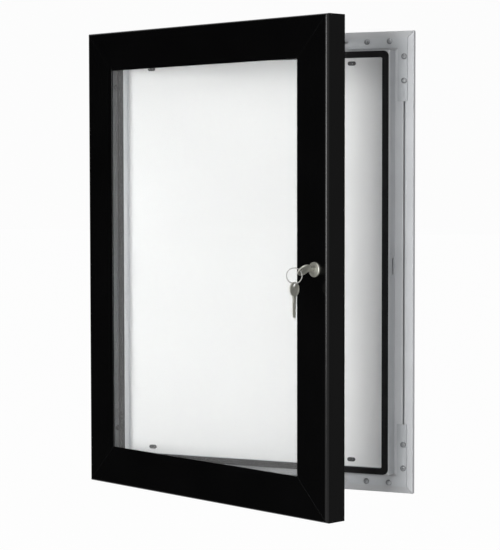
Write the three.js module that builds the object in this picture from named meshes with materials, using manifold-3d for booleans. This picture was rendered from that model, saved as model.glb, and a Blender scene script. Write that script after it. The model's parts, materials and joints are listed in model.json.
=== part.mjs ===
// Lockable wall-mounted notice board: a black aluminium door with a clear pane, hinged on the left
// over a silver aluminium case with a white back panel, a rubber seal and a key lock.
// Millimetres, +Z up, +X to the right and -Y towards the viewer. The wall is the plane Y = 0.
// The origin is on the back face of the case's bottom rail, at the middle of its width.

import * as THREE from 'three';
import { mergeVertices } from 'three/addons/utils/BufferGeometryUtils.js';
import Module from 'manifold-3d';

const wasm = await Module();
wasm.setup();

// Clearances
const touchGap = 0.25; // between pieces that bear on each other in the turned door
const restGap = 0.3; // between the seal and the pane, and at loose fits
const mitreGap = 0.12; // each rail stops this far short of its mitre plane
const overrun = 2; // how far a cutter runs past what it cuts

// Sheet held by the case: A2 portrait, partly covered by the door's face on all sides
const posterWidth = 420;
const posterHeight = 594;
const posterCover = 8;

// Door
const openAngle = THREE.MathUtils.degToRad(22.5);
const faceWidth = 59;
const doorDepth = 34.5;
const doorSkin = 1.5; // skirt wall
const doorWeb = 1.3; // front wall
const doorEdgeRadius = 4.5;
const edgeBreak = 0.5;
const doorStandoff = 5; // wall to the skirt's back edge
const doorWidth = posterWidth + 2 * (faceWidth - posterCover);
const doorHeight = posterHeight + 2 * (faceWidth - posterCover);
const arcSteps = 8;

// Door: chamber for the corner cleats, and the groove for the pane
const chamberRib = 1.2;
const chamberInside = 11.5;
const chamberDepth = 7.7;
const chamberLip = 2;
const glazingRibAt = 31;
const glazingRib = 1.2;
const glazingHook = 3.4;
const paneThickness = 1.5;
const paneEdgeGap = 0.4;
const gasketThickness = 0.75;
const gasketWidth = 7;
const gasketInset = 0.6; // gasket's edge behind the window's edge
const cleatLeg = 60;
const cleatHole = 2.1; // radius
const cleatHoleShare = 0.6; // along each leg

// Case
const caseInset = 9.5; // door's outer face to the case's outer face
const flangeWidth = 28.5;
const flangeDepth = 7;
const caseSkin = 1.5;
const upstandWidth = 5.5;
const upstandFoot = 2; // wall to the upstand's hollow
const rimOverhang = 4;
const slotAt = 14.5; // slot's middle from the outer face
const slotWidth = 2.6;
const panelThickness = 3;
const panelStandoff = 4; // wall to the back of the panel
const panelFit = 0.4;
const ledgeReach = 6;
const ledgeThickness = 1.5;
const keeperLipReach = 2;
const keeperLipThickness = 1.2;

// Seal on the upstand's rim
const sealWidth = 9.5;
const sealThickness = 3.15;
const sealOverhang = 1; // past the rim's inner edge
const sealOuterRadius = 8;
const sealInnerRadius = 2.5;
const sealCrown = 1.2;

// Corner brackets, their backing cleats and their screws
const bracketLeg = 102;
const bracketWidth = 15;
const bracketAt = 9.5;
const bracketThickness = 1.6;
const backingWidth = 12;
const backingThickness = 3;
const screwAt = [37, 72]; // from the corner, along each leg
const screwShank = 1.15; // radius
const screwHead = 4.3; // radius
const screwHeadHeight = 2.4;
const screwDomeShares = [[1, 0.3], [0.75, 0.85]]; // radius and height up the head
const screwSocket = 1.25; // radius across the socket's corners
const screwSocketDepth = 1.2;
const screwHole = 1.5; // radius
const screwSides = 16;

// Fixing bushes through the back panel
const bushFromHingeSide = 41; // from the panel's upright edges
const bushFromLockSide = 62;
const bushFromEnd = 11; // from the panel's level edges
const bushHeadLength = 12.5;
const bushHeadWidth = 6;
const bushHeadHeight = 1.6;
const bushStem = 2.7; // radius
const bushBore = 1.9; // radius
const bushHole = 3; // radius
const bushSides = 16;

// Full-length hinge between the flange and the skirt
const hingeLength = 450;
const knuckleCount = 9;
const knuckleRadius = 1.75;
const knuckleBore = 1.15;
const knuckleGap = 0.3;
const pinRadius = 0.9;
const pinHead = 1.5; // radius
const pinHeadHeight = 0.8;
const leafThickness = 0.8;
const doorLeafWidth = 16;
const caseLeafWidth = 13.5;
const skirtPastAxis = 1.05; // skirt's back edge behind the hinge axis
const knuckleSides = 16;

// Lock
const lockFromEdge = 23.5;
const lockHead = 10.5; // radius
const lockHeadHeight = 3;
const lockDome = 1.4;
const lockBarrel = 7; // radius
const lockLength = 22; // behind the face
const plugRadius = 5;
const plugBore = 5.3;
const plugRecess = 0.4;
const plugTail = 0.4;
const lockHole = 7.3; // radius
const nutFlat = 8.5; // half the width across the flats
const nutHeight = 4;
const nutBore = 7.3; // radius
const nutPocket = 13; // half the length of the gap milled for the nut
const camThickness = 2;
const camReach = 17;
const camHalfWidth = 5;
const camHole = 1.9; // radius
const camScrewHead = 3.4; // radius
const camScrewHeight = 2.4;
const camScrewShank = 1.5; // radius
const camScrewGrip = 2.2;
const slotRunIn = 0.5; // cam slot's cutter past the wall's inner face
const camSlotAbove = 8;
const camSlotBelow = 16;
const camSlotMargin = 1.8;
const camTipShare = 0.5; // width of the cam's flat tip as a share of its width
const lockSides = 32;

// Keys
const keyThickness = 2;
const keyBladeWidth = 7.4;
const keyBladeLength = 21.5;
const keyNeckLength = 8;
const keyNeckWidth = 6;
const keyBow = 10; // radius
const keyHole = 2.9; // radius
const keyHoleFromEnd = 4;
const keySlotGap = 0.3;
const keyTilt = THREE.MathUtils.degToRad(45);
const keyShoulderGap = 0.4;
const keyCutDepthShares = [0.3, 0.12, 0.4, 0.2, 0.34]; // of the blade's width
const keyCutFlatShares = [0.35, 0.65]; // where each cut's flat starts and ends
const keySides = 12;

// Split ring
const ringRadius = 10.6; // to the middle of the wire
const ringWire = 0.85; // radius
const ringTurn = THREE.MathUtils.degToRad(46); // ring's plane about the vertical, from the door's face
const ringHang = THREE.MathUtils.degToRad(40); // height of the bow's hole on the ring, from its side
const ringSteps = 36;
const ringSides = 8;
const ringSeat = 1; // ring's wire from the middle of the key's hole
const spareTurn = THREE.MathUtils.degToRad(52); // spare key about the vertical, from the ring's plane

// Sizes that follow from these
const caseWidth = doorWidth - 2 * caseInset;
const caseHeight = doorHeight - 2 * caseInset;
const railWidth = flangeWidth + upstandWidth;
const faceY = -(doorStandoff + doorDepth);
const webBack = doorDepth - doorWeb;
const gasketFront = webBack - touchGap;
const paneFront = gasketFront - gasketThickness - touchGap;
const paneBack = paneFront - paneThickness;
const hookFront = paneBack - touchGap;
const hookBack = hookFront - glazingRib;
const sealFrontY = -(doorStandoff + paneBack) + restGap;
const rimDepth = -sealFrontY - sealThickness; // wall to the front of the upstand
const panelFront = panelStandoff + panelThickness;
const lipStart = panelFront + restGap;
const originToCentre = caseHeight / 2 - railWidth / 2;
const panelWidth = caseWidth - 2 * (railWidth + panelFit);
const panelHeight = caseHeight - 2 * (railWidth + panelFit);
const hingeAxis = {
  x: -doorWidth / 2 + doorSkin + touchGap + knuckleRadius,
  y: -(doorStandoff + skirtPastAxis),
};
const lockX = doorWidth / 2 - lockFromEdge;

const silver = () => new THREE.MeshStandardMaterial({ color: 0xc9ccd0, roughness: 0.38, metalness: 0.9 });
const zinc = () => new THREE.MeshStandardMaterial({ color: 0xa9adb2, roughness: 0.35, metalness: 0.9 });
const blackPaint = () => new THREE.MeshStandardMaterial({ color: 0x101012, roughness: 0.35, metalness: 0.2 });
const rubber = () => new THREE.MeshStandardMaterial({ color: 0x17171a, roughness: 0.8, metalness: 0 });
const whitePanel = () => new THREE.MeshStandardMaterial({ color: 0xf2f2f0, roughness: 0.6, metalness: 0 });
const blackPlastic = () => new THREE.MeshStandardMaterial({ color: 0x222224, roughness: 0.6, metalness: 0 });
const nickel = () => new THREE.MeshStandardMaterial({ color: 0xc4c2b8, roughness: 0.25, metalness: 1 });
const clear = () => new THREE.MeshStandardMaterial({
  color: 0xeef3f4,
  roughness: 0.05,
  metalness: 0,
  transparent: true,
  opacity: 0.25,
});

// Turns a face list round where its volume comes out negative.
function faceOutward(geometry) {
  const points = geometry.getAttribute('position');
  const count = geometry.index ? geometry.index.count : points.count;
  const at = (k) => (geometry.index ? geometry.index.getX(k) : k);
  const a = new THREE.Vector3();
  const b = new THREE.Vector3();
  const c = new THREE.Vector3();
  let volume = 0;
  for (let k = 0; k < count; k += 3) {
    a.fromBufferAttribute(points, at(k));
    b.fromBufferAttribute(points, at(k + 1));
    c.fromBufferAttribute(points, at(k + 2));
    volume += a.dot(b.cross(c));
  }
  if (volume < 0) {
    const order = [];
    for (let k = 0; k < count; k += 3) {
      order.push(at(k), at(k + 2), at(k + 1));
    }
    geometry.setIndex(order);
  }
  return geometry;
}

function toSolid(geometry) {
  const bare = geometry.clone();
  bare.deleteAttribute('normal');
  bare.deleteAttribute('uv');
  const merged = mergeVertices(bare, 1e-4);
  const points = merged.getAttribute('position').array;
  const index = merged.index.array;
  const kept = [];
  for (let k = 0; k < index.length; k += 3) {
    const [i, j, m] = [index[k], index[k + 1], index[k + 2]];
    if (i !== j && j !== m && m !== i) {
      kept.push(i, j, m);
    }
  }
  const mesh = new wasm.Mesh({
    numProp: 3,
    vertProperties: new Float32Array(points),
    triVerts: new Uint32Array(kept),
  });
  return new wasm.Manifold(mesh);
}

function toGeometry(solid) {
  const mesh = solid.getMesh();
  const geometry = new THREE.BufferGeometry();
  geometry.setAttribute('position', new THREE.BufferAttribute(new Float32Array(mesh.vertProperties), 3));
  geometry.setIndex(new THREE.BufferAttribute(new Uint32Array(mesh.triVerts), 1));
  return geometry;
}

function cut(geometry, cutters) {
  let solid = toSolid(geometry);
  for (const cutter of cutters) {
    solid = solid.subtract(toSolid(cutter));
  }
  return toGeometry(solid);
}

function join(geometries) {
  let solid = toSolid(geometries[0]);
  for (const other of geometries.slice(1)) {
    solid = solid.add(toSolid(other));
  }
  return toGeometry(solid);
}

function piece(name, geometry, material) {
  const shaded = geometry.index ? geometry.toNonIndexed() : geometry;
  shaded.computeVertexNormals();
  const mesh = new THREE.Mesh(shaded, material);
  mesh.name = name;
  return mesh;
}

// A box between two corners, given as [low, high] along each axis.
function block([x0, x1], [y0, y1], [z0, z1]) {
  const geometry = new THREE.BoxGeometry(x1 - x0, y1 - y0, z1 - z0);
  return geometry.translate((x0 + x1) / 2, (y0 + y1) / 2, (z0 + z1) / 2);
}

// A round bar along Y from y0 to y1.
function barY(radius, x, z, y0, y1, sides) {
  const geometry = new THREE.CylinderGeometry(radius, radius, Math.abs(y1 - y0), sides);
  return geometry.translate(x, (y0 + y1) / 2, z);
}

// A round bar along Z from z0 to z1.
function barZ(radius, x, y, z0, z1, sides) {
  const geometry = new THREE.CylinderGeometry(radius, radius, Math.abs(z1 - z0), sides);
  return geometry.rotateX(Math.PI / 2).translate(x, y, (z0 + z1) / 2);
}

// A revolved profile of [radius, depth] pairs; depth runs towards the viewer, which is -Y.
function revolve(profile, sides) {
  const points = profile.map(([radius, depth]) => new THREE.Vector2(radius, -depth));
  return faceOutward(new THREE.LatheGeometry(points, sides));
}

function shapeOf(points) {
  return new THREE.Shape(points.map(([u, v]) => new THREE.Vector2(u, v)));
}

// A rail of a mitred frame. Its profile is given in [u, v], with u inward from the frame's outer
// face and v forward from the profile's back; side is the way the rail faces.
const sides = {
  top: { out: [0, 1], along: [1, 0] },
  bottom: { out: [0, -1], along: [1, 0] },
  hinge: { out: [-1, 0], along: [0, 1] },
  lock: { out: [1, 0], along: [0, 1] },
};

function mitredRail(profile, hollows, width, height, backY, side) {
  const shape = shapeOf(profile);
  shape.holes = hollows.map((hollow) => new THREE.Path(hollow.map(([u, v]) => new THREE.Vector2(u, v))));
  const geometry = new THREE.ExtrudeGeometry(shape, { depth: 1, bevelEnabled: false });
  const { out, along } = sides[side];
  const outHalf = out[0] === 0 ? height / 2 : width / 2;
  const alongHalf = out[0] === 0 ? width / 2 : height / 2;
  const points = geometry.getAttribute('position');
  for (let k = 0; k < points.count; k += 1) {
    const u = points.getX(k);
    const v = points.getY(k);
    const end = points.getZ(k) < 0.5 ? -1 : 1;
    const run = end * (alongHalf - u - mitreGap);
    const reach = outHalf - u;
    points.setXYZ(k, along[0] * run + out[0] * reach, backY - v, along[1] * run + out[1] * reach);
  }
  geometry.deleteAttribute('normal');
  geometry.deleteAttribute('uv');
  return faceOutward(geometry);
}

// A rounded rectangle in X and Z about the frame's centre.
function roundedRectangle(width, height, radius, kind = THREE.Shape) {
  const path = new kind();
  const x = width / 2;
  const z = height / 2;
  path.moveTo(-x + radius, -z);
  path.lineTo(x - radius, -z);
  path.absarc(x - radius, -z + radius, radius, -Math.PI / 2, 0);
  path.lineTo(x, z - radius);
  path.absarc(x - radius, z - radius, radius, 0, Math.PI / 2);
  path.lineTo(-x + radius, z);
  path.absarc(-x + radius, z - radius, radius, Math.PI / 2, Math.PI);
  path.lineTo(-x, -z + radius);
  path.absarc(-x + radius, -z + radius, radius, Math.PI, 1.5 * Math.PI);
  return path;
}

// A flat plate from a shape drawn in X and Z, between two depths in front of the wall.
function plate(shape, back, front, curveSegments = arcSteps) {
  const options = { depth: front - back, bevelEnabled: false, curveSegments };
  const geometry = new THREE.ExtrudeGeometry(shape, options);
  return geometry.rotateX(Math.PI / 2).translate(0, -back, 0);
}

// An L in the corner of a frame: its outer corner lies inset from the frame's corner.
function cornerLegs(width, height, inset, legWidth, legLength, signX, signZ) {
  const x = width / 2 - inset;
  const z = height / 2 - inset;
  const endX = width / 2 - legLength;
  const endZ = height / 2 - legLength;
  const outline = [
    [x, z],
    [endX, z],
    [endX, z - legWidth],
    [x - legWidth, z - legWidth],
    [x - legWidth, endZ],
    [x, endZ],
  ];
  return shapeOf(outline.map(([a, b]) => [signX * a, signZ * b]));
}

const corners = [
  ['top_left', -1, 1],
  ['top_right', 1, 1],
  ['bottom_left', -1, -1],
  ['bottom_right', 1, -1],
];

// Case rail: a flange with a screw slot, a hollow upstand, a rim for the seal and a panel groove.
function caseProfile() {
  const inner = railWidth;
  const upstand = flangeWidth;
  const slotOuter = slotAt - slotWidth / 2;
  const slotInner = slotAt + slotWidth / 2;
  const under = flangeDepth - caseSkin;
  return [
    [0, 0],
    [inner, 0],
    [inner, panelStandoff - ledgeThickness],
    [inner + ledgeReach, panelStandoff - ledgeThickness],
    [inner + ledgeReach, panelStandoff],
    [inner, panelStandoff],
    [inner, lipStart],
    [inner + keeperLipReach, lipStart],
    [inner + keeperLipReach, lipStart + keeperLipThickness],
    [inner, lipStart + keeperLipThickness],
    [inner, rimDepth - caseSkin],
    [inner + rimOverhang, rimDepth - caseSkin],
    [inner + rimOverhang, rimDepth],
    [upstand + edgeBreak, rimDepth],
    [upstand, rimDepth - edgeBreak],
    [upstand, flangeDepth],
    [slotInner, flangeDepth],
    [slotInner, under],
    [upstand, under],
    [upstand, caseSkin],
    [caseSkin, caseSkin],
    [caseSkin, under],
    [slotOuter, under],
    [slotOuter, flangeDepth],
    [edgeBreak, flangeDepth],
    [0, flangeDepth - edgeBreak],
  ];
}

function caseHollow() {
  const from = flangeWidth + caseSkin;
  const to = railWidth - caseSkin;
  return [
    [from, upstandFoot],
    [to, upstandFoot],
    [to, rimDepth - caseSkin],
    [from, rimDepth - caseSkin],
  ];
}

// Door rail: a skirt, a rounded edge, a flat face, a cleat chamber and a groove for the pane.
function doorProfile() {
  const rounded = [];
  for (let k = 0; k <= arcSteps; k += 1) {
    const angle = Math.PI - (k / arcSteps) * (Math.PI / 2);
    rounded.push([
      doorEdgeRadius * (1 + Math.cos(angle)),
      doorDepth - doorEdgeRadius * (1 - Math.sin(angle)),
    ]);
  }
  const ribAt = doorSkin + chamberInside;
  const lipBack = webBack - chamberDepth - chamberRib;
  const lipFront = webBack - chamberDepth;
  return [
    [0, 0],
    ...rounded,
    [faceWidth - edgeBreak, doorDepth],
    [faceWidth, doorDepth - edgeBreak],
    [faceWidth, webBack],
    [glazingRibAt + glazingRib, webBack],
    [glazingRibAt + glazingRib, hookFront],
    [glazingRibAt + glazingRib + glazingHook, hookFront],
    [glazingRibAt + glazingRib + glazingHook, hookBack],
    [glazingRibAt, hookBack],
    [glazingRibAt, webBack],
    [ribAt + chamberRib, webBack],
    [ribAt + chamberRib, lipBack],
    [ribAt - chamberLip, lipBack],
    [ribAt - chamberLip, lipFront],
    [ribAt, lipFront],
    [ribAt, webBack],
    [doorSkin, webBack],
    [doorSkin, lipFront],
    [doorSkin + chamberLip, lipFront],
    [doorSkin + chamberLip, lipBack],
    [doorSkin, lipBack],
    [doorSkin, 0],
  ];
}

function caseRails() {
  return Object.keys(sides).map((side) => {
    let geometry = mitredRail(caseProfile(), [caseHollow()], caseWidth, caseHeight, 0, side);
    if (side === 'lock') {
      geometry = cut(geometry, [camSlot()]);
    }
    return piece(`case_rail_${side}`, geometry, silver());
  });
}

// The window in the upstand that the lock's cam turns into.
function camSlot() {
  const outerX = caseWidth / 2 - flangeWidth;
  const camFront = faceY + lockLength + plugTail + restGap;
  return block(
    [outerX - caseSkin - slotRunIn, outerX + overrun],
    [camFront - camSlotMargin, camFront + camThickness + camSlotMargin],
    [-camSlotBelow, camSlotAbove],
  );
}

function backPanel() {
  const [x, z] = [panelWidth / 2, panelHeight / 2];
  const sheet = block([-x, x], [-panelFront, -panelStandoff], [-z, z]);
  const holes = corners.map(([, sx, sz]) => {
    const place = bushPlace(sx, sz);
    return barY(bushHole, ...place, -panelFront - overrun, -panelStandoff + overrun, bushSides);
  });
  return piece('back_panel', cut(sheet, holes), whitePanel());
}

function bushPlace(signX, signZ) {
  const fromSide = signX < 0 ? bushFromHingeSide : bushFromLockSide;
  return [signX * (panelWidth / 2 - fromSide), signZ * (panelHeight / 2 - bushFromEnd)];
}

// Each bush has an oval head on the panel and a round stem that reaches the wall.
function fixingBushes() {
  const front = panelFront + bushHeadHeight;
  return corners.map(([name, sx, sz]) => {
    const head = plate(roundedRectangle(bushHeadLength, bushHeadWidth, bushHeadWidth / 2), panelFront, front);
    const stem = barY(bushStem, 0, 0, -front + bushHeadHeight / 2, 0, bushSides);
    const bore = barY(bushBore, 0, 0, -front - overrun, overrun, bushSides);
    const [x, z] = bushPlace(sx, sz);
    const bush = cut(join([head, stem]), [bore]).translate(x, 0, z);
    return piece(`fixing_bush_${name}`, bush, blackPlastic());
  });
}

// The seal: a flat-backed rubber ring with a crown towards the pane.
function seal() {
  const outerInset = railWidth + rimOverhang + sealOverhang - sealWidth;
  const layers = [
    [0, rimDepth, -sealFrontY - sealCrown],
    [sealCrown, -sealFrontY - sealCrown, -sealFrontY],
  ];
  const rings = layers.map(([shrink, back, front]) => {
    const inset = 2 * (outerInset + shrink);
    const inner = 2 * (outerInset + sealWidth - shrink);
    const shape = roundedRectangle(caseWidth - inset, caseHeight - inset, sealOuterRadius - shrink);
    const inside = [caseWidth - inner, caseHeight - inner, sealInnerRadius + shrink];
    shape.holes.push(roundedRectangle(...inside, THREE.Path));
    return plate(shape, back, front);
  });
  return piece('seal', join(rings), rubber());
}

function bracketPlate(signX, signZ) {
  const legs = cornerLegs(caseWidth, caseHeight, bracketAt, bracketWidth, bracketLeg, signX, signZ);
  return plate(legs, flangeDepth, flangeDepth + bracketThickness);
}

// Where the screws stand: two along each leg, over the slot.
function screwPlaces(signX, signZ) {
  return screwAt.flatMap((along) => [
    [signX * (caseWidth / 2 - along), signZ * (caseHeight / 2 - slotAt)],
    [signX * (caseWidth / 2 - slotAt), signZ * (caseHeight / 2 - along)],
  ]);
}

function cornerFittings() {
  const backingInset = slotAt - backingWidth / 2;
  const backingFront = flangeDepth - caseSkin;
  const socketBack = flangeDepth + bracketThickness + screwHeadHeight - screwSocketDepth;
  const headTop = flangeDepth + bracketThickness + screwHeadHeight;
  const headBack = flangeDepth + bracketThickness;
  const shankEnd = backingFront - backingThickness;
  const screwProfile = [
    [0, shankEnd],
    [screwShank, shankEnd],
    [screwShank, headBack],
    [screwHead, headBack],
    ...screwDomeShares.map(([out, up]) => [screwHead * out, headBack + screwHeadHeight * up]),
    [screwSocket, headTop],
    [screwSocket, socketBack],
    [0, socketBack],
  ];
  const made = [];
  for (const [name, sx, sz] of corners) {
    const places = screwPlaces(sx, sz);
    const bores = () => places.map(([x, z]) => barY(screwHole, x, z, -headTop, 0, screwSides));
    made.push(piece(`corner_bracket_${name}`, cut(bracketPlate(sx, sz), bores()), silver()));
    const legs = cornerLegs(caseWidth, caseHeight, backingInset, backingWidth, bracketLeg, sx, sz);
    const backing = plate(legs, backingFront - backingThickness, backingFront);
    made.push(piece(`backing_cleat_${name}`, cut(backing, bores()), zinc()));
    places.forEach(([x, z], k) => {
      const screw = revolve(screwProfile, screwSides).translate(x, 0, z);
      made.push(piece(`bracket_screw_${name}_${k + 1}`, screw, zinc()));
    });
  }
  return made;
}

// Hinge: nine knuckles, of which the odd ones belong to the case's leaf.
function knuckles(first) {
  const pitch = hingeLength / knuckleCount;
  const made = [];
  for (let k = first; k < knuckleCount; k += 2) {
    const z0 = -hingeLength / 2 + k * pitch + knuckleGap / 2;
    made.push([z0, z0 + pitch - knuckleGap]);
  }
  return made;
}

function hingeLeaf(first, sheet, reliefs) {
  const { x, y } = hingeAxis;
  const rolls = knuckles(first).map(([z0, z1]) => barZ(knuckleRadius, x, y, z0, z1, knuckleSides));
  const bore = barZ(knuckleBore, x, y, -hingeLength, hingeLength, knuckleSides);
  const trimmed = cut(sheet, reliefs);
  return cut(join([trimmed, ...rolls]), [bore]);
}

// Clears the other leaf's knuckles out of a leaf's edge.
function knuckleReliefs(first, wide) {
  const { x, y } = hingeAxis;
  const room = knuckleRadius + knuckleGap;
  return knuckles(first).map(([z0, z1]) => {
    return block([x - wide, x + wide], [y - room, y + room], [z0 - knuckleGap, z1 + knuckleGap]);
  });
}

function caseLeaf() {
  const { x } = hingeAxis;
  const z = hingeLength / 2 - knuckleGap / 2;
  const sheet = block([x, x + caseLeafWidth], [-flangeDepth - leafThickness, -flangeDepth], [-z, z]);
  const room = knuckleRadius + knuckleGap;
  return piece('hinge_leaf_case', hingeLeaf(0, sheet, knuckleReliefs(1, room)), silver());
}

function doorLeaf() {
  const { x, y } = hingeAxis;
  const z = hingeLength / 2 - knuckleGap / 2;
  const left = x - knuckleRadius;
  const sheet = block([left, left + leafThickness], [y - doorLeafWidth, y], [-z, z]);
  const room = knuckleRadius + knuckleGap;
  return piece('hinge_leaf_door', hingeLeaf(1, sheet, knuckleReliefs(0, room)), blackPaint());
}

function hingePin() {
  const { x, y } = hingeAxis;
  const end = hingeLength / 2 + knuckleGap;
  const pin = barZ(pinRadius, x, y, -end, end, knuckleSides);
  const caps = [-1, 1].map((sign) => {
    return barZ(pinHead, x, y, sign * end, sign * (end + pinHeadHeight), knuckleSides);
  });
  return piece('hinge_pin', join([pin, ...caps]), zinc());
}

function doorRails() {
  return Object.keys(sides).map((side) => {
    let geometry = mitredRail(doorProfile(), [], doorWidth, doorHeight, -doorStandoff, side);
    if (side === 'lock') {
      geometry = cut(geometry, lockCuts());
    }
    return piece(`door_rail_${side}`, geometry, blackPaint());
  });
}

// The lock's round hole in the face, and the pocket for its nut through the pane's groove.
function lockCuts() {
  const hole = barY(lockHole, lockX, 0, faceY - overrun, faceY + doorWeb + overrun, lockSides);
  const ribX = doorWidth / 2 - glazingRibAt;
  const webBackY = -(doorStandoff + webBack);
  const pocket = block(
    [ribX - glazingRib - glazingHook - overrun, ribX + touchGap],
    [webBackY, webBackY + (webBack - hookBack) + overrun],
    [-nutPocket, nutPocket],
  );
  return [hole, pocket];
}

function doorCleats() {
  const front = webBack - touchGap;
  const back = webBack - chamberDepth + touchGap;
  const inset = doorSkin + touchGap;
  const width = chamberInside - 2 * touchGap;
  return corners.map(([name, sx, sz]) => {
    const legs = cornerLegs(doorWidth, doorHeight, inset, width, cleatLeg, sx, sz);
    const body = plate(legs, doorStandoff + back, doorStandoff + front);
    const middle = inset + width / 2;
    const along = cleatLeg * cleatHoleShare;
    const holes = [
      [doorWidth / 2 - along, doorHeight / 2 - middle],
      [doorWidth / 2 - middle, doorHeight / 2 - along],
    ].map(([x, z]) => barY(cleatHole, sx * x, sz * z, faceY, 0, screwSides));
    return piece(`door_cleat_${name}`, cut(body, holes), zinc());
  });
}

function pane() {
  const inset = glazingRibAt + glazingRib + paneEdgeGap;
  const [x, z] = [doorWidth / 2 - inset, doorHeight / 2 - inset];
  const depth = [-(doorStandoff + paneFront), -(doorStandoff + paneBack)];
  return piece('pane', block([-x, x], depth, [-z, z]), clear());
}

function glazingGasket() {
  const inner = 2 * (faceWidth - gasketInset);
  const outer = inner - 2 * gasketWidth;
  const shape = roundedRectangle(doorWidth - outer, doorHeight - outer, gasketInset);
  shape.holes.push(roundedRectangle(doorWidth - inner, doorHeight - inner, gasketInset, THREE.Path));
  const front = doorStandoff + gasketFront;
  return piece('glazing_gasket', plate(shape, front - gasketThickness, front, 1), rubber());
}

// Lock pieces are drawn about the lock's axis, with depth 0 on the door's face and plus outward.
function lockBody() {
  const dome = [];
  for (let k = 0; k <= arcSteps / 2; k += 1) {
    const angle = (k / (arcSteps / 2)) * (Math.PI / 2);
    dome.push([
      lockHead - lockDome * (1 - Math.cos(angle)),
      lockHeadHeight - lockDome * (1 - Math.sin(angle)),
    ]);
  }
  const profile = [
    [plugBore, -lockLength],
    [lockBarrel, -lockLength],
    [lockBarrel, touchGap],
    [lockHead, touchGap],
    ...dome,
    [plugBore, lockHeadHeight],
    [plugBore, -lockLength],
  ];
  return revolve(profile, lockSides);
}

function lockNut() {
  const acrossCorners = nutFlat / Math.cos(Math.PI / 6);
  const hex = new THREE.CylinderGeometry(acrossCorners, acrossCorners, nutHeight, 6);
  const depth = -(doorWeb + touchGap + nutHeight / 2);
  hex.translate(0, -depth, 0);
  const bore = barY(nutBore, 0, 0, -depth - nutHeight, -depth + nutHeight, lockSides);
  return cut(hex, [bore]);
}

function lockPlug() {
  const front = lockHeadHeight - plugRecess;
  const back = lockLength + plugTail;
  const plug = barY(plugRadius, 0, 0, -front, back, lockSides);
  const halfSlot = keyThickness / 2 + keySlotGap;
  const halfBlade = keyBladeWidth / 2 + keySlotGap;
  const slotEnd = -front + keyShoulderGap + keyBladeLength + keySlotGap;
  const slot = block([-halfSlot, halfSlot], [-front - overrun, slotEnd], [-halfBlade, halfBlade]);
  const hole = barY(camHole, 0, 0, back - camScrewGrip - restGap, back + overrun, screwSides);
  return cut(plug, [slot.rotateY(Math.PI / 2 - keyTilt), hole]);
}

function lockCam() {
  const tipHalf = camHalfWidth * camTipShare;
  const shoulder = -(camReach - camHalfWidth + tipHalf);
  const shape = new THREE.Shape();
  shape.moveTo(camHalfWidth, 0);
  shape.lineTo(camHalfWidth, shoulder);
  shape.lineTo(tipHalf, -camReach);
  shape.lineTo(-tipHalf, -camReach);
  shape.lineTo(-camHalfWidth, shoulder);
  shape.lineTo(-camHalfWidth, 0);
  shape.absarc(0, 0, camHalfWidth, Math.PI, 0, true);
  const front = -(lockLength + plugTail + restGap);
  const hole = barY(camHole, 0, 0, -front - overrun, -front + camThickness + overrun, screwSides);
  return cut(plate(shape, front - camThickness, front), [hole]);
}

function camScrew() {
  const seat = -(lockLength + plugTail + 2 * restGap + camThickness);
  const tip = -(lockLength + plugTail) + camScrewGrip;
  const hex = new THREE.CylinderGeometry(camScrewHead, camScrewHead, camScrewHeight, 6);
  hex.translate(0, -seat + camScrewHeight / 2, 0);
  return join([hex, barY(camScrewShank, 0, 0, -seat + camScrewHeight / 2, -tip, screwSides)]);
}

// A key lying in X and Z: the bow's hole is at the origin and the blade points down.
function key() {
  const bowTop = keyHoleFromEnd;
  const bowCentre = bowTop - keyBow;
  const neckTop = bowCentre - keyBow + keyThickness;
  const shoulder = bowTop - 2 * keyBow - keyNeckLength;
  const tip = shoulder - keyBladeLength;
  const half = keyBladeWidth / 2;
  const bow = new THREE.Shape();
  bow.absarc(0, bowCentre, keyBow, 0, 2 * Math.PI);
  bow.holes.push(new THREE.Path().absarc(0, 0, keyHole, 0, 2 * Math.PI));
  const neck = shapeOf([
    [-keyNeckWidth / 2, neckTop],
    [-keyNeckWidth / 2, shoulder - keyThickness],
    [keyNeckWidth / 2, shoulder - keyThickness],
    [keyNeckWidth / 2, neckTop],
  ]);
  const step = keyBladeLength / (keyCutDepthShares.length + 1);
  const [flatStart, flatEnd] = keyCutFlatShares;
  const teeth = keyCutDepthShares.flatMap((share, k) => {
    const z = shoulder - step * (k + 1 / 2);
    const depth = share * keyBladeWidth;
    return [
      [half - depth, z - step * flatStart],
      [half - depth, z - step * flatEnd],
      [half - depth / 2, z - step],
    ];
  });
  const blade = shapeOf([
    [-half, shoulder],
    [half, shoulder],
    ...teeth,
    [0, tip],
    [-half, tip + half],
  ]);
  const thick = keyThickness / 2;
  const blank = [plate(bow, -thick, thick, keySides), plate(neck, -thick, thick), plate(blade, -thick, thick)];
  const solid = join(blank);
  return { geometry: solid, shoulder };
}

function splitRing() {
  const torus = new THREE.TorusGeometry(ringRadius, ringWire, ringSides, ringSteps);
  return toGeometry(toSolid(torus.rotateX(Math.PI / 2)));
}

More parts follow.
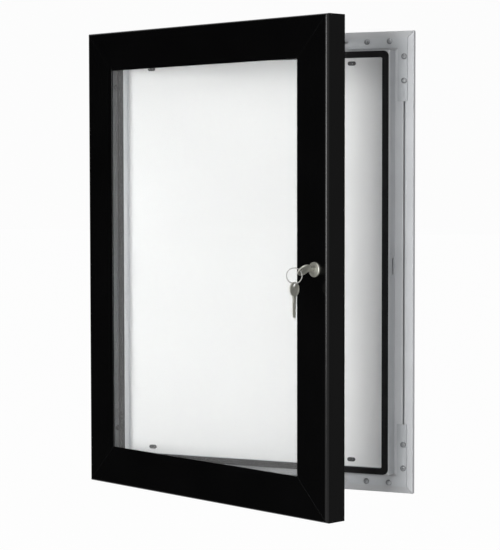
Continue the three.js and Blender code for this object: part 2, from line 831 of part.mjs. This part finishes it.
// The key in the lock, the ring through its bow and the spare key on the ring.
function keySet() {
  const set = new THREE.Group();
  const { geometry, shoulder } = key();
  const inLock = geometry.clone();
  const shoulderDepth = lockHeadHeight - plugRecess + keyShoulderGap;
  const holeDepth = shoulderDepth - shoulder;
  inLock.rotateX(Math.PI / 2).rotateY(-keyTilt).translate(0, -holeDepth, 0);
  set.add(piece('key', inLock, nickel()));

  const ring = new THREE.Group();
  ring.position.set(0, -holeDepth, 0);
  ring.rotation.z = ringTurn;
  const hang = new THREE.Vector3(-Math.cos(ringHang), 0, -Math.sin(ringHang));
  const drop = hang.multiplyScalar(ringRadius + ringSeat);
  const wire = splitRing().translate(drop.x, 0, drop.z);
  ring.add(piece('key_ring', wire, nickel()));

  const spare = new THREE.Group();
  spare.position.set(drop.x, 0, drop.z - ringRadius - keyHole + ringWire + restGap);
  spare.rotation.z = spareTurn;
  spare.add(piece('spare_key', geometry.clone(), nickel()));
  ring.add(spare);
  set.add(ring);
  return set;
}

function lock() {
  const made = new THREE.Group();
  made.position.set(lockX, faceY, 0);
  made.add(piece('lock_housing', lockBody(), nickel()));
  made.add(piece('lock_nut', lockNut(), zinc()));
  made.add(piece('lock_plug', lockPlug(), nickel()));
  made.add(piece('lock_cam', lockCam(), zinc()));
  made.add(piece('cam_screw', camScrew(), zinc()));
  made.add(keySet());
  return made;
}

const noticeBoard = new THREE.Group();
noticeBoard.position.z = originToCentre;
noticeBoard.add(...caseRails(), ...cornerFittings(), backPanel(), ...fixingBushes(), seal());
noticeBoard.add(caseLeaf(), hingePin());

// The door stands open about the hinge axis.
const door = new THREE.Group();
door.position.set(hingeAxis.x, hingeAxis.y, 0);
door.rotation.z = -openAngle;
const doorParts = new THREE.Group();
doorParts.position.set(-hingeAxis.x, -hingeAxis.y, 0);
doorParts.add(...doorRails(), ...doorCleats(), pane(), glazingGasket(), doorLeaf(), lock());
door.add(doorParts);
noticeBoard.add(door);

export default noticeBoard;
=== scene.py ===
import json
import math

import bpy
from mathutils import Matrix, Vector


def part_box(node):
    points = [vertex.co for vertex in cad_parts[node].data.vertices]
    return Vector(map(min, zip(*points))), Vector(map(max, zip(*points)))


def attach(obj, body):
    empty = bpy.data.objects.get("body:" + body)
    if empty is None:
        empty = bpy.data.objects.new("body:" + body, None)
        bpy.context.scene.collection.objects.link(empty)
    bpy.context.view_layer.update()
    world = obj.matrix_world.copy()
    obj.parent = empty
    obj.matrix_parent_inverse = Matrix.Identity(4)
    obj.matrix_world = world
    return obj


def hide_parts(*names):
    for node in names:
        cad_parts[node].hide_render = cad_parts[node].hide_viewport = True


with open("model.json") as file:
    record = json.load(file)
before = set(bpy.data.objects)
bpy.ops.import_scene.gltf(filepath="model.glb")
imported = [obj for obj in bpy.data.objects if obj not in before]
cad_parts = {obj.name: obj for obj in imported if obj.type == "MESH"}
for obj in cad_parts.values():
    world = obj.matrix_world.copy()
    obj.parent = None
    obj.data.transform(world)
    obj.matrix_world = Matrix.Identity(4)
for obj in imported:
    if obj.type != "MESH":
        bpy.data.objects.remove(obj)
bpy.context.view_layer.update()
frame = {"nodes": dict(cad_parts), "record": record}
print("frame loaded,", len(frame["nodes"]), "CAD pieces")

mm = 0.001
quarterTurn = math.radians(90)
white = (1.0, 1.0, 1.0, 1.0)
board = {
    "middleZ": 0.3215,  # height of the case's middle above the origin
    "hingeX": -0.2575,
    "hingeY": -0.00605,
    "openAngle": math.radians(22.5),
    "faceY": -0.0395,  # the door's face when it is shut
    "lockX": 0.2375,
}
bodyOf = {node: body for body, nodes in frame["record"]["behaviour"]["bodies"].items() for node in nodes}

# from the shut door's place to where it stands open
hinge = Matrix.Translation((board["hingeX"], board["hingeY"], 0))
doorPlace = (
    Matrix.Translation((0, 0, board["middleZ"]))
    @ hinge
    @ Matrix.Rotation(-board["openAngle"], 4, "Z")
    @ hinge.inverted()
)
lockPlace = doorPlace @ Matrix.Translation((board["lockX"], board["faceY"], 0))


# nodes of a material
def newMaterial(name):
    material = bpy.data.materials.new(name)
    material.use_nodes = True
    material.node_tree.nodes.clear()
    return material


def addNode(material, kind, inputs=None):
    node = material.node_tree.nodes.new(kind)
    for key, value in (inputs or {}).items():
        node.inputs[key].default_value = value
    return node


def link(material, fromNode, fromSocket, toNode, toSocket):
    material.node_tree.links.new(fromNode.outputs[fromSocket], toNode.inputs[toSocket])


def ramp(material, source, places, tones):
    node = addNode(material, "ShaderNodeValToRGB")
    for element, at, tone in zip(node.color_ramp.elements, places, tones):
        element.position = at
        element.color = (*tone, 1.0)
    link(material, source, "Fac", node, "Fac")
    return node


def objectNoise(material, scale, stretch, detail, rough):
    coordinates = addNode(material, "ShaderNodeTexCoord")
    mapping = addNode(material, "ShaderNodeMapping", {"Scale": stretch})
    noise = addNode(material, "ShaderNodeTexNoise", {"Scale": scale, "Detail": detail, "Roughness": rough})
    link(material, coordinates, "Object", mapping, "Vector")
    link(material, mapping, "Vector", noise, "Vector")
    return noise


def finishMaterial(material, shader):
    output = addNode(material, "ShaderNodeOutputMaterial")
    link(material, shader, 0, output, "Surface")
    return material


def addBump(material, shader, source, strength, depth):
    bump = addNode(material, "ShaderNodeBump", {"Strength": strength, "Distance": depth})
    link(material, source, "Fac", bump, "Height")
    link(material, bump, "Normal", shader, "Normal")


def setRoughness(material, shader, source, low, high):
    span = addNode(material, "ShaderNodeMapRange", {"To Min": low, "To Max": high})
    link(material, source, "Fac", span, "Value")
    link(material, span, "Result", shader, "Roughness")


# what all finishes start from: clouds of two tones, and a fine grain that bumps the surface
plainLook = {
    "metal": 0.0, "shine": 0.5, "grained": False,
    "cloudDetail": 4.0, "cloudRough": 0.5, "fineDetail": 2.0, "fineRough": 0.5,
}


def makeFinish(name, look, stretch=(1, 1, 1)):
    material = newMaterial(name)
    shader = addNode(material, "ShaderNodeBsdfPrincipled", {
        "Metallic": look["metal"],
        "Specular IOR Level": look["shine"],
    })
    cloud = objectNoise(material, look["cloud"], (1, 1, 1), look["cloudDetail"], look["cloudRough"])
    fine = objectNoise(material, look["fine"], stretch, look["fineDetail"], look["fineRough"])
    colours = ramp(material, cloud, look["places"], look["tones"])
    link(material, colours, "Color", shader, "Base Color")
    setRoughness(material, shader, fine if look["grained"] else cloud, *look["roughness"])
    addBump(material, shader, fine, look["bump"], look["bumpDepth"])
    return finishMaterial(material, shader)


powderCoat = {
    **plainLook, "tones": ((0.0004, 0.0004, 0.0005), (0.0009, 0.0009, 0.001)), "places": (0.35, 0.8),
    "shine": 0.26, "cloud": 9.0, "fine": 900.0,
    "roughness": (0.17, 0.22), "bump": 0.12, "bumpDepth": 0.00015,
}
doorPowderCoat = makeFinish("doorPowderCoat", powderCoat)

anodised = {
    **plainLook, "tones": ((0.735, 0.75, 0.77), (0.795, 0.81, 0.83)), "places": (0.3, 0.7), "metal": 0.35,
    "cloud": 14.0, "cloudDetail": 3.0, "fine": 500.0, "fineDetail": 4.0, "grained": True,
    "roughness": (0.42, 0.58), "bump": 0.06, "bumpDepth": 0.00005,
}
# the level rails get darker tones than the upright ones: painted shade, as level rails catch less of the
# light
anodisedPaintedShade = {**anodised, "tones": ((0.595, 0.605, 0.62), (0.655, 0.665, 0.68))}
stamped = {**anodised, "tones": ((0.575, 0.595, 0.615), (0.675, 0.695, 0.715)), "metal": 0.4}
grainDraw = 0.02  # the grain is drawn out fifty times along the rail
anodisedUpright = makeFinish("anodisedUpright", anodised, (1, 1, grainDraw))
anodisedLevel = makeFinish("anodisedLevel", anodisedPaintedShade, (grainDraw, 1, 1))
stampedBracket = makeFinish("stampedBracket", stamped)

plated = {
    **plainLook, "places": (0.3, 0.65), "cloudDetail": 5.0, "cloudRough": 0.6,
    "fine": 1500.0, "bump": 0.08, "bumpDepth": 0.00005,
}
zincPlate = {
    **plated, "tones": ((0.17, 0.175, 0.18), (0.36, 0.37, 0.38)), "metal": 0.8,
    "cloud": 120.0, "roughness": (0.28, 0.45),
}
nickelPlate = {
    **plated, "tones": ((0.40, 0.40, 0.34), (0.66, 0.66, 0.59)), "metal": 0.5,
    "cloud": 90.0, "roughness": (0.16, 0.30),
}
# the keys' nickel is painted pale and barely metallic: a painted highlight standing in for the plating's
# shine
paleNickelPaintedHighlight = {
    **plated, "tones": ((0.56, 0.56, 0.49), (0.78, 0.78, 0.70)), "metal": 0.2,
    "cloud": 160.0, "roughness": (0.22, 0.42),
}
springSteel = {
    **plated, "tones": ((0.26, 0.26, 0.25), (0.42, 0.42, 0.40)), "metal": 0.6,
    "cloud": 160.0, "roughness": (0.25, 0.40),
}
zincPlated = makeFinish("zincPlated", zincPlate)
nickelPlated = makeFinish("nickelPlated", nickelPlate)
keyNickel = makeFinish("keyNickel", paleNickelPaintedHighlight)
ringSteel = makeFinish("ringSteel", springSteel)

panelCoat = {
    **plainLook, "tones": ((0.85, 0.85, 0.85), (0.88, 0.88, 0.88)), "places": (0.3, 0.7),
    "shine": 0.2, "cloud": 3.5, "cloudDetail": 3.0, "fine": 650.0,
    "roughness": (0.5, 0.6), "bump": 0.05, "bumpDepth": 0.0001,
}
panelWhite = makeFinish("panelCoat", panelCoat)

moulded = {**plainLook, "places": (0.35, 0.75), "fine": 2200.0, "bump": 0.10, "bumpDepth": 0.00006}
sealRubber = {
    **moulded, "tones": ((0.0075, 0.0075, 0.008), (0.015, 0.015, 0.016)), "shine": 0.12,
    "cloud": 40.0, "roughness": (0.55, 0.7),
}
mouldedPlastic = {
    **moulded, "tones": ((0.05, 0.05, 0.052), (0.09, 0.09, 0.093)), "shine": 0.3,
    "cloud": 60.0, "roughness": (0.45, 0.6),
}
rubberBlack = makeFinish("rubberBlack", sealRubber)
plasticBlack = makeFinish("plasticBlack", mouldedPlastic)

paneSheet = {
    "tint": (0.99, 0.995, 0.992, 1.0), "ior": 1.49, "roughness": 0.02, "shine": 0.5,
    # a faint white diffuse layer: dust, and also a painted reflection haze over the sheet
    "dust": 0.04, "dustTone": (0.9, 0.9, 0.9, 1.0),
}


def makePaneSheet():
    # clear sheet with a faint white diffuse layer, partly dust and partly a painted reflection haze, which
    # casts hardly any shadow
    s = paneSheet
    material = newMaterial("paneSheet")
    glass = addNode(material, "ShaderNodeBsdfPrincipled", {
        "Base Color": s["tint"],
        "Roughness": s["roughness"],
        "IOR": s["ior"],
        "Transmission Weight": 1.0,
        "Specular IOR Level": s["shine"],
    })
    dust = addNode(material, "ShaderNodeBsdfDiffuse", {"Color": s["dustTone"]})
    dustAndHazeMix = addNode(material, "ShaderNodeMixShader", {"Fac": s["dust"]})
    link(material, glass, 0, dustAndHazeMix, 1)
    link(material, dust, 0, dustAndHazeMix, 2)
    through = addNode(material, "ShaderNodeBsdfTransparent", {"Color": s["tint"]})
    path = addNode(material, "ShaderNodeLightPath")
    mix = addNode(material, "ShaderNodeMixShader")
    link(material, path, "Is Shadow Ray", mix, "Fac")
    link(material, dustAndHazeMix, 0, mix, 1)
    link(material, through, 0, mix, 2)
    return finishMaterial(material, mix)


paneClear = makePaneSheet()
print("finishes made")

# the first line whose words start a node's name gives its finish
finishStarts = (
    (anodisedLevel, ("case_rail_top", "case_rail_bottom")),
    (anodisedUpright, ("case_rail", "hinge_leaf_case")),
    (stampedBracket, ("corner_bracket",)),
    (doorPowderCoat, ("door_rail", "hinge_leaf_door")),
    (zincPlated, ("backing_cleat", "bracket_screw", "door_cleat", "hinge_pin")),
    (zincPlated, ("lock_nut", "lock_cam", "cam_screw")),
    (nickelPlated, ("lock_housing", "lock_plug")),
    (ringSteel, ("key_ring",)),
    (keyNickel, ("key", "spare_key")),
    (rubberBlack, ("seal", "glazing_gasket")),
    (plasticBlack, ("fixing_bush",)),
    (panelWhite, ("back_panel",)),
    (paneClear, ("pane",)),
)


def dress(piece, node):
    finish = next(material for material, starts in finishStarts if node.startswith(starts))
    piece.data.materials.clear()
    piece.data.materials.append(finish)


for nodeName, cadPiece in frame["nodes"].items():
    dress(cadPiece, nodeName)
print("CAD pieces dressed")

# handling of pieces
handling = {
    "mergeDistance": 1e-6, "flatAngle": math.radians(0.4), "bevelSegments": 2,
    "bevelAngle": 40, "smoothAngle": 35, "normalWeight": 100,
}


def pieceName(node):
    first, *rest = node.split("_")
    return first + "".join(word.capitalize() for word in rest)


def onlySelect(piece):
    bpy.ops.object.select_all(action="DESELECT")
    piece.select_set(True)
    bpy.context.view_layer.objects.active = piece


def editMode(selectAll=True):
    bpy.ops.object.mode_set(mode="EDIT")
    bpy.ops.mesh.select_all(action="SELECT" if selectAll else "DESELECT")


def objectMode():
    bpy.ops.object.mode_set(mode="OBJECT")


def turnNormalsOut():
    bpy.ops.mesh.select_all(action="SELECT")
    bpy.ops.mesh.normals_make_consistent(inside=False)


def applyPlace():
    bpy.ops.object.transform_apply(location=True, rotation=True, scale=True)


def bevelEdges(piece, width, angle=handling["bevelAngle"]):
    onlySelect(piece)
    bevel = piece.modifiers.new("edgeBreak", "BEVEL")
    bevel.width = width
    bevel.segments = handling["bevelSegments"]
    bevel.limit_method = "ANGLE"
    bevel.angle_limit = math.radians(angle)
    bpy.ops.object.modifier_apply(modifier=bevel.name)


def smooth(piece, angle=handling["smoothAngle"]):
    onlySelect(piece)
    bpy.ops.object.shade_smooth_by_angle(angle=math.radians(angle))
    # flat faces keep their own direction, so only the broken edges turn the light
    weighted = piece.modifiers.new("evenNormals", "WEIGHTED_NORMAL")
    weighted.mode = "FACE_AREA"
    weighted.weight = handling["normalWeight"]
    weighted.keep_sharp = True
    bpy.ops.object.modifier_apply(modifier=weighted.name)


def place(piece, matrix):
    onlySelect(piece)
    piece.matrix_world = matrix
    applyPlace()


def standFor(piece, node):
    dress(piece, node)
    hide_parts(node)
    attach(piece, bodyOf[node])


def copyOf(piece, name):
    onlySelect(piece)
    bpy.ops.object.duplicate()
    copied = bpy.context.active_object
    copied.name = name
    copied.data.name = copied.name
    return copied


def mergedCopy(node):
    piece = copyOf(frame["nodes"][node], pieceName(node))
    editMode()
    bpy.ops.mesh.remove_doubles(threshold=handling["mergeDistance"])
    bpy.ops.mesh.dissolve_limited(angle_limit=handling["flatAngle"])
    objectMode()
    return piece


# pieces whose CAD form is right get their edges broken, in millimetres, and their round faces smoothed
edgeBreaks = {
    "door_rail": 0.18, "case_rail": 0.2, "corner_bracket": 0.3, "backing_cleat": 0.3, "door_cleat": 0.3,
    "hinge_leaf": 0.12, "hinge_pin": 0.2, "lock_nut": 0.3, "lock_cam": 0.25, "cam_screw": 0.3,
    "fixing_bush": 0.45, "lock_plug": 0.15, "seal": 0.4, "back_panel": 0.2, "pane": 0.15,
    "glazing_gasket": 0.1,
}


def finishCadForms():
    finished = 0
    for node in frame["nodes"]:
        for start, width in edgeBreaks.items():
            if node.startswith(start):
                piece = mergedCopy(node)
                bevelEdges(piece, width * mm)
                smooth(piece)
                standFor(piece, node)
                finished += 1
    return finished


print("edges broken on", finishCadForms(), "pieces")

# lock head: turned, domed, with a thread on its barrel
lockHead = {
    "radius": 10.5, "height": 3.0, "dome": 1.4, "domeSteps": 6, "bore": 5.3, "barrel": 7.0, "length": 22.0,
    "gap": 0.25, "ringAt": 7.4, "ringDepth": 0.18, "thread": 1.0, "threadDepth": 0.4, "sides": 72,
    "smoothAngle": 28,
}


def turnedPiece(name, profile, sides):
    # a profile of (radius, depth) corners, in millimetres, turned about the Y axis
    bpy.ops.mesh.primitive_circle_add(vertices=len(profile), radius=1)
    piece = bpy.context.active_object
    piece.name = name
    piece.data.name = name
    for point, (radius, depth) in zip(piece.data.vertices, profile):
        point.co = Vector((radius, depth, 0)) * mm
    editMode()
    bpy.ops.mesh.spin(steps=sides, angle=math.tau, center=(0, 0, 0), axis=(0, 1, 0))
    bpy.ops.mesh.select_all(action="SELECT")
    bpy.ops.mesh.remove_doubles(threshold=handling["mergeDistance"])
    turnNormalsOut()
    objectMode()
    return piece


def makeLockHousing():
    s = lockHead
    front = -s["height"]
    root = s["barrel"] - s["threadDepth"]
    profile = [(s["radius"], -s["gap"])]
    for step in range(s["domeSteps"] + 1):
        angle = math.radians(90 * step / s["domeSteps"])
        out = s["radius"] - s["dome"] * (1 - math.cos(angle))
        profile.append((out, front + s["dome"] * (1 - math.sin(angle))))
    profile += [
        (s["ringAt"] + s["ringDepth"], front),
        (s["ringAt"], front + s["ringDepth"]),
        (s["ringAt"] - s["ringDepth"], front),
        (s["bore"] + s["ringDepth"], front),
        (s["bore"], front + s["ringDepth"]),
        (s["bore"], s["length"]),
        (root, s["length"]),
    ]
    turns = int((s["length"] - 2 * s["thread"]) / s["thread"])
    for turn in range(turns):
        at = s["length"] - s["thread"] * (turn + 0.5)
        profile.append((s["barrel"], at))
        profile.append((root, at - s["thread"] / 2))
    profile.append((root, -s["gap"]))
    housing = turnedPiece("lockHousing", profile, s["sides"])
    smooth(housing, s["smoothAngle"])
    place(housing, lockPlace)
    standFor(housing, "lock_housing")


makeLockHousing()
print("lock housing made")

# keys: flat blanks with a sunk field in the bow and a milled groove down each side of the blade
keyForm = {
    "thickness": 2.0, "holeFromEnd": 4.0, "bow": 10.0, "hole": 2.9, "neck": 8.0, "bladeLength": 21.5,
    "fieldRim": 1.6, "fieldDepth": 0.3, "fieldSides": 64, "holeRim": 1.3, "rimSides": 48,
    "grooveWidth": 1.5, "grooveDepth": 0.65, "grooveAt": 1.1, "grooveInNeck": 0.6,
    "edge": 0.16, "smoothAngle": 30, "tilt": math.radians(45), "shoulderDepth": 3.0,
    "cutterOut": 1.5,  # how far a groove's cutter stands out, as a multiple of half the thickness
    "cutterEnd": 1,  # how far it runs past the blade's end
    "cutterDepth": 3,  # the rim's cutter, as a multiple of the thickness
}
keyForm["shoulder"] = keyForm["holeFromEnd"] - 2 * keyForm["bow"] - keyForm["neck"]
keyForm["holeDepth"] = keyForm["shoulderDepth"] - keyForm["shoulder"]
ringForm = {
    "radius": 10.6, "radial": 0.74, "axial": 0.39, "pitch": 0.84, "turns": 2, "steps": 96, "sides": 12,
    "turn": math.radians(46), "hang": math.radians(40), "seat": 1.0, "smoothAngle": 40,
    "wire": 0.85, "rest": 0.3, "spareTurn": math.radians(52),
}
keyholePlace = lockPlace @ Matrix.Translation((0, -keyForm["holeDepth"] * mm, 0))
keyPlace = keyholePlace @ Matrix.Rotation(-keyForm["tilt"], 4, "Y") @ Matrix.Rotation(quarterTurn, 4, "X")
ringPlace = keyholePlace @ Matrix.Rotation(ringForm["turn"], 4, "Z")
ringReach = ringForm["radius"] + ringForm["seat"]
ringMiddle = Vector((-math.cos(ringForm["hang"]), 0, -math.sin(ringForm["hang"]))) * ringReach


def subtract(piece, cutter):
    onlySelect(piece)
    cutting = piece.modifiers.new("cutting", "BOOLEAN")
    cutting.operation = "DIFFERENCE"
    cutting.solver = "EXACT"
    cutting.object = cutter
    bpy.ops.object.modifier_apply(modifier=cutting.name)
    bpy.data.objects.remove(cutter)


def boxCutter(low, high):
    bpy.ops.mesh.primitive_cube_add(size=1)
    cutter = bpy.context.active_object
    low, high = Vector(low) * mm, Vector(high) * mm
    cutter.scale = high - low
    cutter.location = (low + high) / 2
    applyPlace()
    return cutter


def roundCutter(sides, radius, depth, middle=(0, 0, 0)):
    # lies along the Y axis, with its sizes in millimetres
    bpy.ops.mesh.primitive_cylinder_add(
        vertices=sides,
        radius=radius * mm,
        depth=depth * mm,
        location=[value * mm for value in middle],
        rotation=(quarterTurn, 0, 0),
    )
    applyPlace()
    return bpy.context.active_object


def fieldCutter(side):
    # a flat ring that sinks the bow's field round the hole's own rim
    s = keyForm
    middle = (0, side * s["thickness"] / 2, s["holeFromEnd"] - s["bow"])
    field = roundCutter(s["fieldSides"], s["bow"] - s["fieldRim"], 2 * s["fieldDepth"], middle)
    rim = roundCutter(s["rimSides"], s["hole"] + s["holeRim"], s["cutterDepth"] * s["thickness"])
    subtract(field, rim)
    return field


def grooveCutter(side):
    s = keyForm
    out = side * s["thickness"] / 2 * s["cutterOut"]
    deep = side * (s["thickness"] / 2 - s["grooveDepth"])
    middle = side * s["grooveAt"]
    low = (middle - s["grooveWidth"] / 2, min(out, deep), s["shoulder"] - s["bladeLength"] - s["cutterEnd"])
    high = (middle + s["grooveWidth"] / 2, max(out, deep), s["shoulder"] + s["neck"] * s["grooveInNeck"])
    return boxCutter(low, high)


def makeKeys():
    s = keyForm
    blank = mergedCopy("key")
    place(blank, keyPlace.inverted())
    for side in (-1, 1):
        subtract(blank, fieldCutter(side))
        subtract(blank, grooveCutter(side))
    bevelEdges(blank, s["edge"] * mm, s["smoothAngle"])
    smooth(blank, s["smoothAngle"])
    spare = copyOf(blank, "spareKey")
    place(blank, keyPlace)
    standFor(blank, "key")
    drop = ringMiddle.z - ringForm["radius"] - s["hole"] + ringForm["wire"] + ringForm["rest"]
    onRing = Matrix.Translation((ringMiddle.x * mm, 0, drop * mm))
    place(spare, ringPlace @ onRing @ Matrix.Rotation(ringForm["spareTurn"], 4, "Z"))
    standFor(spare, "spare_key")


def makeRing():
    # two turns of flattened wire, lying side by side
    s = ringForm
    bpy.ops.mesh.primitive_circle_add(vertices=s["sides"], radius=1)
    ring = bpy.context.active_object
    ring.name = "keyRing"
    ring.data.name = "keyRing"
    for point in ring.data.vertices:
        across = point.co.x * s["radial"]
        along = point.co.y * s["axial"]
        point.co = Vector((s["radius"] + across, 0, along - s["pitch"])) * mm
    onlySelect(ring)
    coil = ring.modifiers.new("coil", "SCREW")
    coil.axis = "Z"
    coil.angle = math.tau
    coil.iterations = s["turns"]
    coil.screw_offset = s["pitch"] * mm
    coil.steps = s["steps"]
    coil.render_steps = s["steps"]
    coil.use_normal_calculate = True
    bpy.ops.object.modifier_apply(modifier=coil.name)
    editMode(selectAll=False)
    bpy.ops.mesh.select_mode(type="EDGE")
    bpy.ops.mesh.select_non_manifold(extend=False, use_boundary=True)
    bpy.ops.mesh.fill_holes(sides=0)
    turnNormalsOut()
    objectMode()
    smooth(ring, s["smoothAngle"])
    place(ring, ringPlace @ Matrix.Translation(ringMiddle * mm) @ Matrix.Rotation(quarterTurn, 4, "X"))
    standFor(ring, "key_ring")


makeKeys()
makeRing()
print("keys and ring made")

# bracket screws: domed heads with a hexagon socket
screwForm = {
    "head": 4.3, "height": 2.4, "seat": 0.25, "shank": 1.15, "sides": 40, "smoothAngle": 32,
    "socket": 1.25, "socketDepth": 1.2, "socketSides": 6, "thread": 0.5, "threadDepth": 0.18,
    "domeSteps": 8, "domeEnd": 1.2,  # the dome ends outside the socket, at this many times its radius
}


def screwProfile(length):
    s = screwForm
    inner = s["socket"] * s["domeEnd"]
    profile = [(s["shank"], 0), (s["head"], 0), (s["head"], -s["seat"])]
    for step in range(1, s["domeSteps"] + 1):
        angle = math.radians(90 * step / s["domeSteps"])
        out = inner + (s["head"] - inner) * math.cos(angle)
        profile.append((out, -s["seat"] - (s["height"] - s["seat"]) * math.sin(angle)))
    profile.append((0, -s["height"]))
    profile.append((0, length))
    turns = int(length / s["thread"]) - 1
    for turn in range(turns):
        at = length - s["thread"] * (turn + 0.5)
        profile.append((s["shank"] - s["threadDepth"], at + s["thread"] / 2))
        profile.append((s["shank"], at))
    return profile


def makeScrews():
    s = screwForm
    names = [node for node in frame["nodes"] if node.startswith("bracket_screw")]
    low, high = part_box(names[0])
    length = (high[1] - low[1]) / mm - s["height"]
    first = turnedPiece("bracketScrew", screwProfile(length), s["sides"])
    subtract(first, roundCutter(s["socketSides"], s["socket"], 2 * s["socketDepth"], (0, -s["height"], 0)))
    smooth(first, s["smoothAngle"])
    for name in names:
        low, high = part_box(name)
        screw = copyOf(first, pieceName(name))
        middle = Vector(((low[0] + high[0]) / 2, low[1] + s["height"] * mm, (low[2] + high[2]) / 2))
        place(screw, Matrix.Translation(middle))
        standFor(screw, name)
    bpy.data.objects.remove(first)
    return len(names)


print(makeScrews(), "bracket screws made")

# stage, light and camera
stageSettings = {
    "floorSize": 60.0, "floorDrop": 0.6, "floorTone": (0.06, 0.06, 0.06, 1.0),
    "paper": 0.975,  # the strength that shows as paper white
    "fill": 0.05,  # what matt surfaces get from the world
    "frontTowards": (0.35, -0.93, 0.0), "frontFade": (0.08, 0.55), "backFade": (-0.35, -0.65),
    "sideFade": (-0.5, 0.5), "leftTone": 0.02, "rightTone": 0.24,
    "noBounce": 0.5,  # a depth below this is none
}
lampAim = (0.0, 0.0, 0.32)
lampSettings = [
    # name, place, size, power
    ("mainLamp", (-0.15, -3.4, 0.5), 1.2, 47.0),
    ("leftLamp", (-1.2, -3.2, 0.5), 1.2, 7.0),
    ("rightLamp", (2.1, -2.7, 0.8), 1.6, 2.0),
    ("topLamp", (0.6, -1.6, 3.2), 1.6, 17.0),
]
cameraSettings = {
    "place": (1.17964, -2.62108, 0.12729 + board["middleZ"]),
    "forward": (-0.41377, 0.9089, -0.05187),
    "lens": 124.09,
    "sensor": 36.0,
    "roll": math.radians(-0.09),
}


def setInput(tree, socket, value):
    if isinstance(value, float):
        socket.default_value = value
    else:
        tree.links.new(value, socket)


def addMath(tree, operation, first, second):
    node = tree.nodes.new("ShaderNodeMath")
    node.operation = operation
    setInput(tree, node.inputs[0], first)
    setInput(tree, node.inputs[1], second)
    return node.outputs[0]


def fadeBetween(tree, source, span, low, high):
    # low where the source is at the span's start and high where it is at its end
    node = tree.nodes.new("ShaderNodeMapRange")
    node.inputs["From Min"].default_value, node.inputs["From Max"].default_value = span
    tree.links.new(source, node.inputs["Value"])
    setInput(tree, node.inputs["To Min"], low)
    setInput(tree, node.inputs["To Max"], high)
    return node.outputs["Result"]


def switch(tree, source, off, on):
    return fadeBetween(tree, source, (0.0, 1.0), off, on)


def mirroredTone(tree, direction, sign):
    # white in front and behind, nearly dark at the left and dim at the right
    s = stageSettings
    turned = tree.nodes.new("ShaderNodeVectorMath")
    turned.operation = "SCALE"
    turned.inputs["Scale"].default_value = sign
    tree.links.new(direction, turned.inputs[0])
    split = tree.nodes.new("ShaderNodeSeparateXYZ")
    tree.links.new(turned.outputs["Vector"], split.inputs["Vector"])
    sides = fadeBetween(tree, split.outputs["X"], s["sideFade"], s["leftTone"], s["rightTone"])
    towards = tree.nodes.new("ShaderNodeVectorMath")
    towards.operation = "DOT_PRODUCT"
    towards.inputs[1].default_value = Vector(s["frontTowards"]).normalized()
    tree.links.new(turned.outputs["Vector"], towards.inputs[0])
    front = fadeBetween(tree, towards.outputs["Value"], s["frontFade"], sides, s["paper"])
    return fadeBetween(tree, towards.outputs["Value"], s["backFade"], front, s["paper"])


def straightSight(tree, path):
    notMirrored = addMath(tree, "LESS_THAN", path.outputs["Glossy Depth"], stageSettings["noBounce"])
    through = addMath(tree, "MULTIPLY", path.outputs["Is Transmission Ray"], notMirrored)
    return addMath(tree, "MAXIMUM", path.outputs["Is Camera Ray"], through)


def stageStrength(tree, direction, sign):
    # straight sight gets paper white, mirrors their own tones and matt surfaces only the fill
    s = stageSettings
    path = tree.nodes.new("ShaderNodeLightPath")
    mirrored = mirroredTone(tree, direction, sign)
    seen = switch(tree, straightSight(tree, path), mirrored, s["paper"])
    notMatt = addMath(tree, "LESS_THAN", path.outputs["Diffuse Depth"], s["noBounce"])
    return switch(tree, notMatt, s["fill"], seen)


def makeWorld():
    world = bpy.data.worlds.new("paperWorld")
    bpy.context.scene.world = world
    world.use_nodes = True
    tree = world.node_tree
    tree.nodes.clear()
    background = tree.nodes.new("ShaderNodeBackground")
    background.inputs["Color"].default_value = white
    output = tree.nodes.new("ShaderNodeOutputWorld")
    coordinates = tree.nodes.new("ShaderNodeTexCoord")
    strength = stageStrength(tree, coordinates.outputs["Generated"], 1.0)
    tree.links.new(strength, background.inputs["Strength"])
    tree.links.new(background.outputs[0], output.inputs["Surface"])


def makeFloor():
    # the glow matches the world, and the matt layer on top of it keeps the board's shadow
    s = stageSettings
    bpy.ops.object.select_all(action="DESELECT")
    bpy.ops.mesh.primitive_plane_add(size=s["floorSize"], location=(0, 0, -s["floorDrop"]))
    floor = bpy.context.active_object
    floor.name = "paperFloor"
    material = newMaterial("floorPaper")
    matt = addNode(material, "ShaderNodeBsdfDiffuse", {"Color": s["floorTone"]})
    glow = addNode(material, "ShaderNodeEmission", {"Color": white})
    geometry = addNode(material, "ShaderNodeNewGeometry")
    strength = stageStrength(material.node_tree, geometry.outputs["Incoming"], -1.0)
    material.node_tree.links.new(strength, glow.inputs["Strength"])
    both = addNode(material, "ShaderNodeAddShader")
    link(material, matt, 0, both, 0)
    link(material, glow, 0, both, 1)
    floor.data.materials.append(finishMaterial(material, both))


def makeLamps():
    for name, spot, size, power in lampSettings:
        data = bpy.data.lights.new(name, "AREA")
        data.shape = "DISK"
        data.size = size
        data.energy = power
        lamp = bpy.data.objects.new(name, data)
        lamp.location = spot
        lamp.rotation_euler = (Vector(lampAim) - Vector(spot)).to_track_quat("-Z", "Y").to_euler()
        bpy.context.scene.collection.objects.link(lamp)


def makeCamera():
    s = cameraSettings
    data = bpy.data.cameras.new("photoCamera")
    data.lens = s["lens"]
    data.sensor_width = s["sensor"]
    camera = bpy.data.objects.new("photoCamera", data)
    camera.location = s["place"]
    looking = Vector(s["forward"]).to_track_quat("-Z", "Y").to_matrix()
    camera.rotation_euler = (looking @ Matrix.Rotation(s["roll"], 3, "Z")).to_euler()
    bpy.context.scene.collection.objects.link(camera)
    bpy.context.scene.camera = camera


makeWorld()
makeFloor()
makeLamps()
makeCamera()
bpy.context.scene.view_settings.view_transform = "Standard"
print("stage, lamps and camera set")
